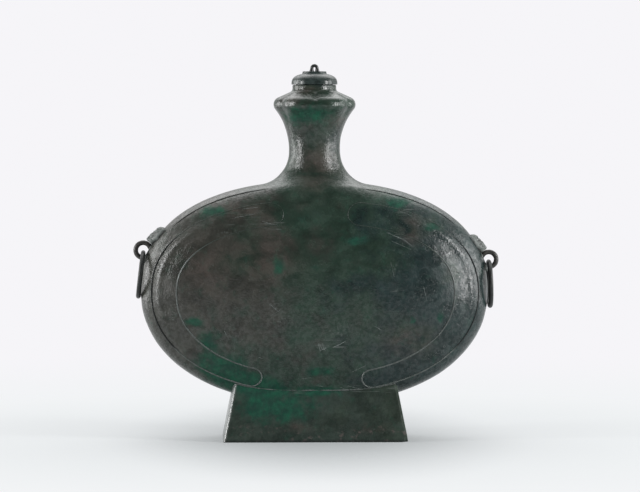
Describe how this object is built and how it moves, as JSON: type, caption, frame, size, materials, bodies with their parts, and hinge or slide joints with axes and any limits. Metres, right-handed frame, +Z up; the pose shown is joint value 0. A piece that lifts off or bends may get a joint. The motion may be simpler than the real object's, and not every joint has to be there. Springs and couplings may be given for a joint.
{
  "type": "garlic-head flat flask",
  "caption": "Cast bronze flat flask with a lobed garlic head on a slim neck, a lift-off lobed lid, a hollow pedestal foot and free rings hanging from beast masks.",
  "frame": {"origin": "on the rest face, under the middle of the foot", "axes": "+Z up the neck, +X towards the flank of the lower ring, -Y out of the front face"},
  "size_m": [0.3025, 0.096, 0.3099],
  "materials": {
    "body_bronze": "cast bronze under a smooth dark green and brown patina with malachite patches",
    "foot_bronze": "cast bronze under a dark green patina with malachite patches",
    "lid_bronze": "cast bronze, dark grey-green and grainy",
    "loop_bronze": "cast bronze rod, nearly black",
    "mask_bronze": "cast bronze relief, grainy grey-green",
    "staple_bronze": "cast bronze rod, brown and worn",
    "ring_bronze": "cast bronze rod, worn smooth and dark"
  },
  "bodies": {
    "flask": {"flask_body": "body_bronze", "foot": "foot_bronze", "mask_left": "mask_bronze", "mask_right": "mask_bronze", "ring_staple_left": "staple_bronze", "ring_staple_right": "staple_bronze"},
    "cover": {"lid": "lid_bronze", "lid_loop": "loop_bronze"},
    "left_handle": {"ring_left": "ring_bronze"},
    "right_handle": {"ring_right": "ring_bronze"}
  },
  "joints": [
    {"name": "lid_lift", "type": "slide", "parent": "flask", "child": "cover", "axis": [0, 0, 1], "range_m": [0, 0.04]},
    {"name": "ring_left_swing", "type": "hinge", "parent": "flask", "child": "left_handle", "pos_m": [-0.14156, 0, 0.1543], "axis": [0, 1, 0], "range_deg": [0, 205]},
    {"name": "ring_right_swing", "type": "hinge", "parent": "flask", "child": "right_handle", "pos_m": [0.14449, 0, 0.14634], "axis": [0, -1, 0], "range_deg": [0, 205]}
  ]
}
